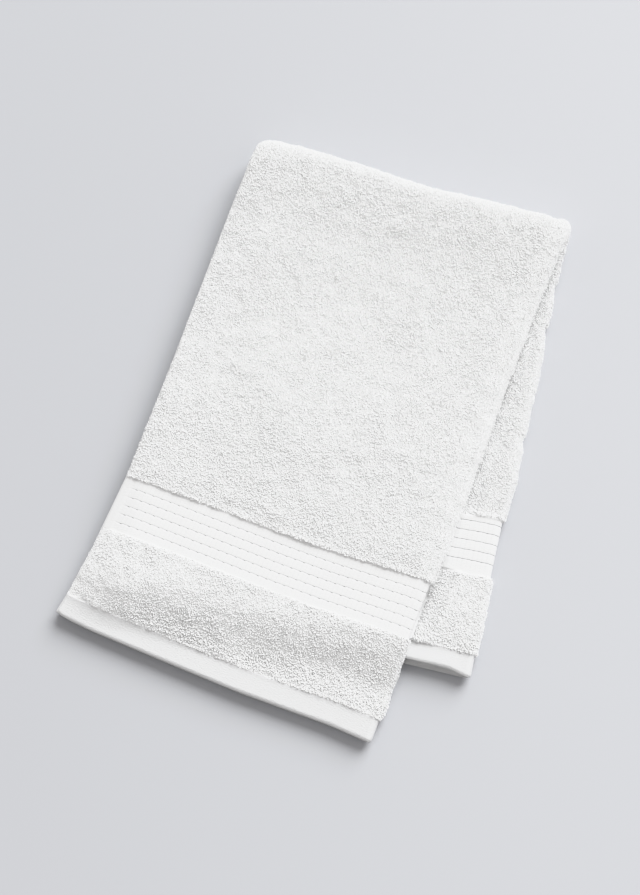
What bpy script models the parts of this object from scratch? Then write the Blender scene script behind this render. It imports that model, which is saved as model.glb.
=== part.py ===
# A white terry hand towel, woven in one piece, folded in half along its length and then once across.
# It lies flat. Metres, +Z up: X runs along the cross fold, the cross fold is at the +Y end,
# both hems are at the -Y end, and the round lengthwise fold is on the +X side.

import math

import bpy
import numpy as np

NODE_NAME = "hand_towel"
COLLECTION_NAME = "Hand towel"

# The cloth laid out flat: its width, and its length on each side of the cross fold
TOWEL_WIDTH = 0.460
UPPER_LENGTH = 0.3925
LOWER_LENGTH = 0.3320
HEM_WIDTH = 0.0155
BODY_SPACING = 0.0056

# Across the cloth at each end, from the hem's edge inwards. Columns: zone, where it starts,
# half the weave's thickness, share of pile, height of the weave above what it lies on, layer spacing
ZONE_COLUMNS = ("zone", "start", "weave", "pile", "rise", "spacing")
ZONES = [
    ("hem", 0.0, 0.0013, 0.0, 0.0013, 0.0031),
    ("strip", HEM_WIDTH, 0.0006, 1.0, 0.0023, 0.0056),
    ("border", 0.0670, 0.0008, 0.0, 0.0020, 0.0042),
    ("body", 0.1060, 0.0006, 1.0, 0.0023, BODY_SPACING),
]
PILE_RAMP = 0.0020
SPACING_RAMP = 0.0090

# Height of the pile where layers press on it, where it is free on top, and round the lengthwise fold.
# The outer face grows free on its way round the cross fold.
PILE_PRESSED = 0.0017
PILE_FREE = 0.0034
PILE_SIDE = 0.0040
FREE_BY_ANGLE = math.radians(120.0)
SIDE_HEM_WIDTH = 0.0070
SIDE_HEM_RAMP = 0.0020
SIDE_HEM_WEAVE = 0.0013
EDGE_ROUNDING = 0.0016
EDGE_SHARE = 0.6

# The folded pair of layers: its width to the weave of the lengthwise fold, how far each half leans
# away from square to the cross fold, and the height at which the upper half lies on the lower one
HALF_WIDTH = TOWEL_WIDTH / 2.0 - (math.pi / 2.0 - 1.0) * BODY_SPACING / 2.0
LEAN = math.radians(4.03)
STACK_HEIGHT = 0.0110

# The cross fold stands a little higher than the rest and settles over its first stretch
CREST_HEIGHT = 0.0034
CREST_LENGTH = 0.058

# Rows are parallel to the cross fold up to the first distance from it, and square to the half's
# own length beyond the second
FOLD_SKEW_FULL = 0.030
FOLD_SKEW_END = 0.200

# Where the upper half runs off the lower one, it comes down to the surface over these stretches
SIDE_DROP_START = 0.0115
SIDE_DROP_LENGTH = 0.0250
END_DROP_START = -0.0110
END_DROP_LENGTH = 0.0310

# The lower half's pile stands free beside the upper half's right edge
UNCOVERED_FROM = 0.2370
UNCOVERED_RAMP = 0.0080
UNCOVERED_REACH = 0.0300

# How far the upper half's left and right edges lie in from straight ones
EDGE_COLUMNS = ("along", "left", "right")
EDGES = [
    (0.000, -0.0020, 0.0000),
    (0.060, -0.0005, 0.0014),
    (0.130, 0.0028, 0.0018),
    (0.200, 0.0062, 0.0006),
    (0.285, 0.0090, 0.0000),
    (0.340, 0.0068, 0.0000),
    (0.375, 0.0034, 0.0000),
    (0.395, 0.0008, 0.0000),
]

# Small nips in the lower half's round edge
NIP_COLUMNS = ("along", "depth")
NIPS = [
    (0.046, 0.0012),
    (0.079, 0.0019),
    (0.165, 0.0018),
]
NIP_RAMP = 0.0045
NIP_RECOVERY = 0.016

# The cross fold's outline, from its right end to its left: how far it bulges
FOLD_EDGE_COLUMNS = ("place", "bulge")
FOLD_EDGE = [
    (0.000, 0.0030),
    (0.035, 0.0014),
    (0.065, 0.0004),
    (0.094, -0.0016),
    (0.110, -0.0022),
    (0.128, -0.0008),
    (0.186, 0.0010),
    (0.215, 0.0000),
    (0.224, -0.0016),
    (0.231, -0.0056),
]
FOLD_EDGE_REACH = 0.110

# How far the upper hem's edge runs out, from its left end
HEM_EDGE_COLUMNS = ("place", "out")
HEM_EDGE = [
    (0.000, -0.0034),
    (0.006, -0.0014),
    (0.025, 0.0000),
    (0.070, 0.0008),
    (0.135, 0.0016),
    (0.200, -0.0006),
    (0.228, 0.0004),
]
HEM_EDGE_REACH = 0.060

# The weft lines bow towards the cross fold beside the lengthwise fold: shift, by place from the left
BOW_COLUMNS = ("place", "shift")
BOW = [
    (0.000, 0.0006),
    (0.060, -0.0004),
    (0.130, -0.0010),
    (0.165, -0.0022),
    (0.199, -0.0050),
    (0.216, -0.0064),
    (0.228, -0.0066),
]
BOW_FULL_FROM = 0.110
BOW_FADE_START = 0.140
BOW_FADE_LENGTH = 0.180
BOW_LOWER_SHARE = 0.6

# The lower hem's upper layer lies back from its lower one, and the two part a little
HEM_SETBACK = 0.0026
HEM_PARTING = 0.0013
HEM_PARTING_RAMP = 0.0160

# Soft swells of the upper half, by their place from its right edge and from the cross fold
SWELL_COLUMNS = ("across", "along", "radius", "height")
SWELLS = [
    (0.080, 0.110, 0.062, 0.0010),
    (0.175, 0.120, 0.050, 0.0009),
    (0.120, 0.215, 0.055, 0.0009),
    (0.190, 0.255, 0.048, -0.0004),
    (0.055, 0.262, 0.045, 0.0006),
]
SWELL_RAMP = 0.050

# Grid of the solid: shares of the way across each layer, steps round the folds, shares of the way
# down from the crest, longest step along the cloth, and distances from each end
PANEL_STATIONS = (
    0.0, 0.0065, 0.030, 0.065, 0.100, 0.135, 0.170, 0.210, 0.260, 0.340, 0.440, 0.550,
    0.660, 0.770, 0.870, 0.945,
)
SIDE_FOLD_STEPS = 6
CROSS_FOLD_STEPS = 8
CREST_STATIONS = (0.18, 0.38, 0.58, 0.78, 1.0)
LONGEST_STEP = 0.030
END_STATIONS = (
    0.0, 0.0016, 0.0080, 0.0145, 0.0165, 0.0240, 0.0320, 0.0400, 0.0485, 0.0570,
    0.0660, 0.0680, 0.0770, 0.0865, 0.0960, 0.1050, 0.1070, 0.1200,
)

# Look of the cloth
CLOTH_COLOUR = (0.86, 0.86, 0.85, 1.0)
CLOTH_ROUGHNESS = 0.95


def smooth(x):
    """0 below 0, 1 above 1, with an even S between."""
    x = np.clip(x, 0.0, 1.0)
    return x * x * (3.0 - 2.0 * x)


def column(rows, names, name):
    return np.array([row[names.index(name)] for row in rows], dtype=float)


def between_rows(rows, names, name, x):
    """A column of a table at x, which runs along the table's first column."""
    return np.interp(x, column(rows, names, names[0]), column(rows, names, name))


def zone_value(name, from_end, ramp, beside_pile=False):
    """A column of the zone table at a distance from the cloth's end, with soft steps.

    A step is centred on the start of its zone, or lies wholly on the side without pile.
    """
    starts = column(ZONES, ZONE_COLUMNS, "start")
    values = column(ZONES, ZONE_COLUMNS, name)
    result = np.full_like(from_end, values[0])
    for index in range(1, len(ZONES)):
        rises = values[index] > values[index - 1]
        begin = starts[index] - ramp / 2.0
        if beside_pile:
            begin = starts[index] + (-PILE_RAMP / 2.0 - ramp if rises else PILE_RAMP / 2.0)
        step = smooth((from_end - begin) / ramp)
        result = result + (values[index] - values[index - 1]) * step
    return result


def mid_radius():
    """Radius of the cross fold, half way between the two layers."""
    return (STACK_HEIGHT + CREST_HEIGHT) / 2.0


def bend_reach():
    """Length of cloth on each side of the cross fold's middle that is bent."""
    return math.pi * mid_radius() / 2.0


def fold_reach():
    """From the cross fold's centre line to its outermost pile."""
    weave = column(ZONES, ZONE_COLUMNS, "weave")[-1]
    return mid_radius() + BODY_SPACING / 2.0 + weave + PILE_FREE


def row_stations():
    """Places of the grid's rows along the cloth, from the lower hem to the upper hem."""
    bend = bend_reach()
    lower = [station - LOWER_LENGTH for station in END_STATIONS]
    upper = [UPPER_LENGTH - station for station in END_STATIONS]
    nip_places = column(NIPS, NIP_COLUMNS, "along")
    nips = [shift - place for place in nip_places for shift in (NIP_RAMP, 0.0)]
    crest = [bend + CREST_LENGTH * share for share in CREST_STATIONS]
    arc = [bend * (2.0 * step / CROSS_FOLD_STEPS - 1.0) for step in range(CROSS_FOLD_STEPS + 1)]
    known = sorted(lower + upper + nips + crest + arc)
    rows = known[:1]
    for place in known[1:]:
        start = rows[-1]
        steps = max(1, math.ceil((place - start) / LONGEST_STEP))
        rows += [start + (place - start) * (step + 1) / steps for step in range(steps)]
    return np.array(rows)


def column_stations():
    """For each grid column, its share of the way from the open edge to the side fold, and the
    angle that its outer face looks to: -90 degrees below, 90 degrees above."""
    out = [(share, -math.pi / 2.0) for share in PANEL_STATIONS]
    turn = [(1.0, math.pi * (k / SIDE_FOLD_STEPS - 0.5)) for k in range(SIDE_FOLD_STEPS + 1)]
    back = [(share, math.pi / 2.0) for share in reversed(PANEL_STATIONS)]
    return np.array(out + turn + back)


def nip_depth(along):
    """How far the lower half's round edge is nipped in."""
    depth = np.zeros_like(along)
    for row in NIPS:
        nip = dict(zip(NIP_COLUMNS, row))
        past = along - nip["along"]
        start = smooth(past / NIP_RAMP + 1.0)
        recovery = 1.0 - smooth(past / NIP_RECOVERY)
        depth = depth + nip["depth"] * start * recovery
    return depth


def half_frames(x, y):
    """A plan position in the lower and the upper half's own directions: along and across each."""
    cos_lean, sin_lean = math.cos(LEAN), math.sin(LEAN)
    lower_along = x * sin_lean - y * cos_lean
    lower_across = HALF_WIDTH + x * cos_lean + y * sin_lean
    upper_along = -x * sin_lean - y * cos_lean
    upper_across = HALF_WIDTH + x * cos_lean - y * sin_lean
    return lower_along, lower_across, upper_along, upper_across


def support_height(x, y):
    """Height of what the upper half lies on: the lower half, or the surface beside it."""
    along, across, _, _ = half_frames(x, y)
    side = smooth((across + SIDE_DROP_START + SIDE_DROP_LENGTH) / SIDE_DROP_LENGTH)
    beyond = along - (LOWER_LENGTH + fold_reach() - bend_reach())
    end = 1.0 - smooth((beyond - END_DROP_START) / END_DROP_LENGTH)
    return STACK_HEIGHT * side * end


def swell_height(x, y):
    """Soft unevenness of the upper half's top."""
    _, _, along, across = half_frames(x, y)
    height = np.zeros_like(x)
    for row in SWELLS:
        swell = dict(zip(SWELL_COLUMNS, row))
        gap = np.hypot(HALF_WIDTH - across - swell["across"], along - swell["along"])
        height = height + swell["height"] * smooth(1.0 - gap / swell["radius"])
    return height


def fold_cloth(share, facing, place, face):
    """Positions of points of the folded cloth.

    share and facing come from column_stations, place runs along the cloth, and face is 1 on the
    cloth's outer face and -1 on the face inside the lengthwise fold.
    """
    upper = place > 0.0
    bend = bend_reach()
    upper_share = smooth((place + bend) / (2.0 * bend))
    from_end = np.where(upper, UPPER_LENGTH - place, LOWER_LENGTH + place)
    spacing = zone_value("spacing", from_end, SPACING_RAMP, beside_pile=True)
    rise = zone_value("rise", from_end, SPACING_RAMP, beside_pile=True)
    weave = zone_value("weave", from_end, PILE_RAMP)
    pile = zone_value("pile", from_end, PILE_RAMP)
    radius = spacing / 2.0
    top_layer = (1.0 + np.sin(facing)) / 2.0

    # Across the pair of layers: from the open edge, round the side fold, and back
    left_inset = between_rows(EDGES, EDGE_COLUMNS, "left", place) * upper_share
    right_inset = between_rows(EDGES, EDGE_COLUMNS, "right", place) * upper_share + nip_depth(-place)
    across = left_inset + share * (HALF_WIDTH - right_inset - radius - left_inset)
    across = across + radius * np.cos(facing)
    level = radius * np.sin(facing)

    # Rows slant to follow the cross fold, and straighten towards the hems
    slant = 1.0 - smooth((np.abs(place) - FOLD_SKEW_FULL) / (FOLD_SKEW_END - FOLD_SKEW_FULL))
    left_share = np.clip(1.0 - across / HALF_WIDTH, 0.0, 1.0)
    along = place + slant * left_share * HALF_WIDTH * math.tan(LEAN)
    near_hem = 1.0 - smooth(from_end / HEM_EDGE_REACH)
    run_out = between_rows(HEM_EDGE, HEM_EDGE_COLUMNS, "out", across)
    along = along + np.where(upper, run_out, 0.0) * near_hem
    bowed = np.clip(from_end / BOW_FULL_FROM, 0.0, 1.0)
    bowed = bowed * (1.0 - smooth((from_end - BOW_FADE_START) / BOW_FADE_LENGTH))
    bow = between_rows(BOW, BOW_COLUMNS, "shift", across) * bowed
    along = along + np.where(upper, bow, -bow * BOW_LOWER_SHARE)
    parting = smooth((HALF_WIDTH - across) / HEM_PARTING_RAMP) * (1.0 - smooth(from_end / HEM_WIDTH))
    parting = np.where(upper, 0.0, parting) * top_layer
    along = along + HEM_SETBACK * parting

    # Half thickness to this face: weave, and pile that stands taller where nothing presses on it
    cos_lean, sin_lean = math.cos(LEAN), math.sin(LEAN)
    plan_x = (across - HALF_WIDTH) * cos_lean - along * sin_lean
    turned = (across - HALF_WIDTH) * sin_lean + along * cos_lean
    angle = np.clip((turned + bend) / (2.0 * bend), 0.0, 1.0) * math.pi
    on_top = smooth(angle / FREE_BY_ANGLE) * (1.0 - top_layer)
    _, _, _, upper_across = half_frames(plan_x, -np.abs(turned))
    uncovered = smooth((upper_across - UNCOVERED_FROM) / UNCOVERED_RAMP) * top_layer
    uncovered = uncovered * smooth(-turned / UNCOVERED_REACH)
    free = np.maximum(on_top, uncovered)
    side = np.cos(facing) ** 2
    height = PILE_PRESSED + (PILE_FREE - PILE_PRESSED) * free
    height = height + (PILE_SIDE - height) * side
    height = np.where(face > 0, height, PILE_PRESSED)
    edge_gap = share * HALF_WIDTH
    side_hem = 1.0 - smooth((edge_gap - SIDE_HEM_WIDTH) / SIDE_HEM_RAMP + 0.5)
    weave = weave + np.maximum(SIDE_HEM_WEAVE - weave, 0.0) * side_hem * (1.0 - pile)
    half = weave + pile * height
    rounding = smooth(edge_gap / EDGE_ROUNDING) * smooth(from_end / EDGE_ROUNDING)
    half = half * (EDGE_SHARE + (1.0 - EDGE_SHARE) * rounding)
    out = half * face
    across = across + out * np.cos(facing)
    level = level + out * np.sin(facing) + HEM_PARTING * parting

    # Bend the pair round the cross fold and lay the upper half on what is below it
    plan_x = (across - HALF_WIDTH) * cos_lean - along * sin_lean
    turned = (across - HALF_WIDTH) * sin_lean + along * cos_lean
    angle = np.clip((turned + bend) / (2.0 * bend), 0.0, 1.0) * math.pi
    middle = rise + radius
    run = np.maximum(np.abs(turned) - bend, 0.0)
    centre_y = mid_radius() * np.sin(angle) - run - fold_reach()
    plan_y = centre_y - level * np.sin(angle)
    bulge = between_rows(FOLD_EDGE, FOLD_EDGE_COLUMNS, "bulge", -plan_x)
    plan_y = plan_y + bulge * (1.0 - smooth((-plan_y - fold_reach()) / FOLD_EDGE_REACH))
    support = support_height(plan_x, plan_y)
    crest = CREST_HEIGHT * (1.0 - smooth(run / CREST_LENGTH))
    swell = swell_height(plan_x, plan_y) * smooth(run / SWELL_RAMP)
    upper_middle = support + middle + crest + swell
    lift = (1.0 - np.cos(angle)) / 2.0
    plan_z = middle + (upper_middle - middle) * lift + level * np.cos(angle)
    return plan_x, plan_y, plan_z


def cloth_material():
    material = bpy.data.materials.new("white_terry")
    material.use_nodes = True
    shader = material.node_tree.nodes["Principled BSDF"]
    shader.inputs["Base Color"].default_value = CLOTH_COLOUR
    shader.inputs["Roughness"].default_value = CLOTH_ROUGHNESS
    shader.inputs["Metallic"].default_value = 0.0
    material.diffuse_color = CLOTH_COLOUR
    return material


def flat_slab(columns, rows):
    """A flat grid of unit cells with the cloth's two faces, as a closed thin slab."""
    bpy.ops.mesh.primitive_grid_add(x_subdivisions=columns - 1, y_subdivisions=rows - 1, size=2.0)
    slab = bpy.context.object
    thickness = slab.modifiers.new("Thickness", "SOLIDIFY")
    thickness.thickness = 1.0
    thickness.offset = 0.0
    evaluated = slab.evaluated_get(bpy.context.evaluated_depsgraph_get())
    mesh = bpy.data.meshes.new_from_object(evaluated)
    bpy.data.objects.remove(slab)
    return mesh


def build_towel(collection):
    stations = column_stations()
    rows = row_stations()
    mesh = flat_slab(len(stations), len(rows))
    points = np.zeros(len(mesh.vertices) * 3)
    mesh.vertices.foreach_get("co", points)
    points = points.reshape(-1, 3)
    column_index = np.rint((points[:, 0] + 1.0) / 2.0 * (len(stations) - 1)).astype(int)
    row_index = np.rint((points[:, 1] + 1.0) / 2.0 * (len(rows) - 1)).astype(int)
    face = np.where(points[:, 2] > 0.0, -1.0, 1.0)
    share, facing = stations[column_index].T
    folded = np.stack(fold_cloth(share, facing, rows[row_index], face), axis=1)
    low, high = folded.min(axis=0), folded.max(axis=0)
    folded[:, :2] -= (low[:2] + high[:2]) / 2.0
    mesh.vertices.foreach_set("co", folded.ravel())
    mesh.name = NODE_NAME
    mesh.shade_smooth()
    mesh.materials.append(cloth_material())
    towel = bpy.data.objects.new(NODE_NAME, mesh)
    collection.objects.link(towel)
    return towel


def main():
    for old in list(bpy.data.objects):
        bpy.data.objects.remove(old)
    collection = bpy.data.collections.new(COLLECTION_NAME)
    bpy.context.scene.collection.children.link(collection)
    build_towel(collection)


main()
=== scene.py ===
import math

import bpy
import numpy as np
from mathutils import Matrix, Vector


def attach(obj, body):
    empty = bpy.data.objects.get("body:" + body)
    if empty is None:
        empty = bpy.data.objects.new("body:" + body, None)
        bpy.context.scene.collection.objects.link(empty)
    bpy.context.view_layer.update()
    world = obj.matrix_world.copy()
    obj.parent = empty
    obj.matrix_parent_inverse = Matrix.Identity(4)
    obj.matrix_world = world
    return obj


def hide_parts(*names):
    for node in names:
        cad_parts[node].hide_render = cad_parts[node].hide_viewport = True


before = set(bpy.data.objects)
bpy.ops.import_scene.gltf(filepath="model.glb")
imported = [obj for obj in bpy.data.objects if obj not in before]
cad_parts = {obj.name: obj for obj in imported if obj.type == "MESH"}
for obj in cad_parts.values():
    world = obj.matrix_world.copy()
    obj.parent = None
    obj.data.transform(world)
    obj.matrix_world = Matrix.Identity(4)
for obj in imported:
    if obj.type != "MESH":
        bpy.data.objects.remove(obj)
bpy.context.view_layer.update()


# The cloth laid flat, and its layers zone by zone from each end. Metres everywhere.
cloth = {
    "width": 0.460,
    "upperLength": 0.3925,  # from the cross fold to the upper hem
    "lowerLength": 0.3320,  # from the cross fold to the lower hem
    "hemWidth": 0.0155,
    "bodySpacing": 0.0056,  # between the weaves of two folded layers
    "pileRamp": 0.0014,
    "spacingRamps": (0.0030, 0.0090, 0.0030),  # at the hem, the strip and the body
    "pilePressed": 0.0017,
    "pileFree": 0.0034,
    "pileSide": 0.0040,
    "freeByAngle": math.radians(120.0),
    "sideHemWidth": 0.0070,
    "sideHemRamp": 0.0020,
    "sideHemWeave": 0.0013,
    "rimRounding": 0.0016,
    "rimShare": 0.35,
    "groundBelowTips": 0.0008,  # where the pile stands free, its ground lies this far under its tips
}
zones = {
    "start": (0.0, 0.0155, 0.0670, 0.1060),  # hem, terry strip, ribbed border, body
    "weave": (0.0013, 0.0006, 0.0008, 0.0006),
    "pile": (0.0, 1.0, 0.0, 1.0),
    "rise": (0.0026, 0.0023, 0.0029, 0.0023),
    "spacing": (0.0054, 0.0056, 0.0058, 0.0056),
}

# How it is folded and how it lies
fold = {
    "lean": math.radians(4.03),
    "stackHeight": 0.0110,
    "crestHeight": 0.0034,
    "crestLength": 0.058,
    "skewFull": 0.030,
    "skewEnd": 0.200,
    "sideDropStart": 0.0115,
    "sideDropLength": 0.0480,
    "endDropStart": -0.0140,
    "endDropLength": 0.0410,
    "uncoveredFrom": 0.2385,
    "uncoveredRamp": 0.0120,
    "uncoveredReach": 0.0300,
    "valleyFrom": 0.2370,  # beside the upper half's round edge the lower half is pressed down
    "valleyReach": 0.0100,
    "valleyDepth": 0.0008,
    "valleyPile": 0.0008,
    "shownFrom": 0.2300,  # beyond the upper half's round edge the lower half shows
    "shownRamp": 0.0020,
    "nipRamp": 0.0045,
    "nipRecovery": 0.016,
    "foldEdgeReach": 0.110,
    "hemEdgeReach": 0.060,
    "bowFullFrom": 0.110,
    "bowFadeStart": 0.140,
    "bowFadeLength": 0.180,
    "bowLowerShare": 0.6,
    "hemSetback": 0.0026,
    "hemParting": 0.0013,
    "hemPartingRamp": 0.0160,
    "swellRamp": 0.050,
}
upperEdges = {  # how far the upper half's side edges lie in, by distance from the cross fold
    "along": (0.0, 0.060, 0.130, 0.200, 0.285, 0.340, 0.375, 0.395),
    "left": (-0.0020, -0.0005, 0.0028, 0.0062, 0.0090, 0.0068, 0.0034, 0.0008),
    "right": (0.0, 0.0014, 0.0018, 0.0006, 0.0, 0.0, 0.0, 0.0),
}
nips = ((0.046, 0.0012), (0.079, 0.0019), (0.165, 0.0018))     # along the lower half, depth
foldEdge = {  # the cross fold's outline, from its right end
    "place": (0.0, 0.035, 0.065, 0.094, 0.110, 0.128, 0.186, 0.215, 0.224, 0.231),
    "bulge": (0.0030, 0.0014, 0.0004, -0.0016, -0.0022, -0.0008, 0.0010, 0.0, -0.0016, -0.0056),
}
hemEdge = {  # the upper hem's outline, from its left end
    "place": (0.0, 0.006, 0.025, 0.070, 0.135, 0.200, 0.228),
    "out": (-0.0034, -0.0014, 0.0, 0.0008, 0.0016, -0.0006, 0.0004),
}
weftBow = {  # shift of the weft towards the cross fold, from the left
    "place": (0.0, 0.060, 0.130, 0.165, 0.199, 0.216, 0.228),
    "shift": (0.0006, -0.0004, -0.0010, -0.0022, -0.0050, -0.0064, -0.0066),
}
swells = (  # from the right edge, from the cross fold, radius, height
    (0.115, 0.190, 0.110, 0.0028),  # the scene's own, beyond the CAD's
    (0.080, 0.110, 0.062, 0.0010),
    (0.175, 0.120, 0.050, 0.0009),
    (0.120, 0.215, 0.055, 0.0009),
    (0.190, 0.255, 0.048, -0.0004),
    (0.055, 0.262, 0.045, 0.0006),
)
halfWidth = cloth["width"] / 2.0 - (math.pi / 2.0 - 1.0) * cloth["bodySpacing"] / 2.0
midRadius = (fold["stackHeight"] + fold["crestHeight"]) / 2.0
bend = math.pi * midRadius / 2.0
foldReach = midRadius + cloth["bodySpacing"] / 2.0 + zones["weave"][3] + cloth["pileFree"]

# Fine relief of the outer face
relief = {
    "hemRaised": 0.0003,  # the turned hem's own thickness beyond the CAD's
    "sinkPlaces": (0.0155, 0.0215, 0.0600, 0.0670, 0.1060, 0.1180, 0.1400),  # from the cloth's end
    "sinkDepths": (0.0019, 0.0013, 0.0013, 0.0019, 0.0013, 0.0003, 0.0),  # of the pile's ground
    "hemCurl": 0.0006,  # the hem's end stands this much higher
    "upperGroove": 0.0732,  # the ribbed border's first groove, from the cloth's end
    "upperPitch": 0.00633,
    "lowerGroove": 0.0754,
    "lowerPitch": 0.00665,
    "grooveCount": 5,
    "grooveWidth": 0.00042,
    "grooveDepth": 0.00018,
    "bandCrown": 0.00002,
    "borderRamp": 0.002,
    "dashPitch": 0.0065,
    "dashFade": 0.5,
    "lowerDash": 0.25,  # the lower half's dashes show this much less
    "dashSlant": 0.0005,
    "plainEdge": 0.0085,  # beside the open edge the grooves run out
    "clump": 0.0042,
    "clumpHeight": 0.00040,
    "tuft": 0.0100,
    "tuftHeight": 0.00040,
    "wave": 0.0380,
    "waveHeight": 0.00045,
    "hemWave": 0.0200,
    "hemWaveHeight": 0.00014,
}


def smooth(x):
    x = np.clip(x, 0.0, 1.0)
    return x * x * (3.0 - 2.0 * x)


def zoneValue(name, fromEnd):
    starts, values = zones["start"], zones[name]
    result = np.full_like(fromEnd, values[0])
    for index in range(1, len(starts)):
        ramp = cloth["pileRamp"]
        begin = starts[index] - ramp / 2.0
        if name in ("spacing", "rise"):      # these steps lie wholly on the side without pile
            ramp = cloth["spacingRamps"][index - 1]
            rises = values[index] > values[index - 1]
            begin = starts[index] + (cloth["pileRamp"] / 2.0 if not rises
                                     else -cloth["pileRamp"] / 2.0 - ramp)
        result = result + (values[index] - values[index - 1]) * smooth((fromEnd - begin) / ramp)
    return result


def softNoise(x, y, cell, seed):
    # smooth values from -1 to 1 that change over about one cell
    lattice = np.random.default_rng(seed).uniform(-1.0, 1.0, (256, 256))
    column, row = np.floor(x / cell).astype(int), np.floor(y / cell).astype(int)
    shareX, shareY = smooth(x / cell - column), smooth(y / cell - row)
    corners = [lattice[(column + i) % 256, (row + j) % 256] for j in (0, 1) for i in (0, 1)]
    near = corners[0] * (1.0 - shareX) + corners[1] * shareX
    far = corners[2] * (1.0 - shareX) + corners[3] * shareX
    return near * (1.0 - shareY) + far * shareY


def nipDepth(along):
    depth = np.zeros_like(along)
    for place, amount in nips:
        past = along - place
        recovery = 1.0 - smooth(past / fold["nipRecovery"])
        depth = depth + amount * smooth(past / fold["nipRamp"] + 1.0) * recovery
    return depth


def halfFrames(x, y):
    # along and across the lower half, then along and across the upper half
    c, s = math.cos(fold["lean"]), math.sin(fold["lean"])
    return x * s - y * c, halfWidth + x * c + y * s, -x * s - y * c, halfWidth + x * c - y * s


def supportHeight(x, y):
    along, across, _, _ = halfFrames(x, y)
    side = smooth((across + fold["sideDropStart"]) / fold["sideDropLength"] + 1.0)
    beyond = along - (cloth["lowerLength"] + foldReach - bend)
    end = 1.0 - smooth((beyond - fold["endDropStart"]) / fold["endDropLength"])
    return fold["stackHeight"] * side * end


def swellHeight(x, y):
    _, _, along, across = halfFrames(x, y)
    height = np.zeros_like(x)
    for place, distance, radius, amount in swells:
        gap = np.hypot(halfWidth - across - place, along - distance)
        height = height + amount * smooth(1.0 - gap / radius)
    return height


def fromEndOf(place):
    return np.where(place > 0.0, cloth["upperLength"] - place, cloth["lowerLength"] + place)


def flatPlace(share, facing, place):
    # the point's place on the cloth laid flat, in metres
    radius = cloth["bodySpacing"] / 2.0
    panel = halfWidth - radius
    turn = radius * (facing + math.pi / 2.0)
    across = np.where(facing > 0.0, panel * (2.0 - share), panel * share) + turn
    return across, place + cloth["lowerLength"]


def planOf(across, along):
    # the place in plan, the distance along it from the cross fold, and the angle round that fold
    c, s = math.cos(fold["lean"]), math.sin(fold["lean"])
    turned = (across - halfWidth) * s + along * c
    angle = np.clip((turned + bend) / (2.0 * bend), 0.0, 1.0) * math.pi
    return (across - halfWidth) * c - along * s, turned, angle


def outerRelief(share, facing, place):
    # thickness added to the outer face
    fromEnd = fromEndOf(place)
    pile = zoneValue("pile", fromEnd)
    u, v = flatPlace(share, facing, place)
    rough = (relief["clumpHeight"] * softNoise(u, v, relief["clump"], 3)
             + relief["tuftHeight"] * softNoise(u, v, relief["tuft"], 4)
             + relief["waveHeight"] * softNoise(u, v, relief["wave"], 5))
    calm = relief["hemWaveHeight"] * softNoise(u, v, relief["hemWave"], 6)
    phase = u / relief["dashPitch"] - np.floor(u / relief["dashPitch"])
    dashed = np.where(place > 0.0, 1.0, relief["lowerDash"])
    shift = relief["dashSlant"] * (phase - 0.5) * dashed
    depth = np.zeros_like(place)
    first = np.where(place > 0.0, relief["upperGroove"], relief["lowerGroove"])
    pitch = np.where(place > 0.0, relief["upperPitch"], relief["lowerPitch"])
    for index in range(relief["grooveCount"]):
        gap = (fromEnd + shift - first - index * pitch) / relief["grooveWidth"]
        depth = np.maximum(depth, np.exp(-gap * gap))
    depth = depth * (1.0 - relief["dashFade"] * dashed * (1.0 - phase ** 2))
    inBorder = (smooth((fromEnd - zones["start"][2]) / relief["borderRamp"])
                * smooth((zones["start"][3] - fromEnd) / relief["borderRamp"]))
    edgeGap = share * halfWidth
    depth = depth * inBorder * smooth(edgeGap / relief["plainEdge"] - 0.5)
    crown = 0.5 + 0.5 * np.cos(2.0 * math.pi * ((fromEnd - first) / pitch - 0.5))
    flat = relief["bandCrown"] * crown * inBorder - relief["grooveDepth"] * depth
    onHem = 1.0 - smooth((fromEnd - zones["start"][1]) / cloth["pileRamp"] + 0.5)
    rough = rough - np.interp(fromEnd, relief["sinkPlaces"], relief["sinkDepths"])
    return pile * rough + (1.0 - pile) * (calm + flat) + relief["hemRaised"] * onHem


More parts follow.
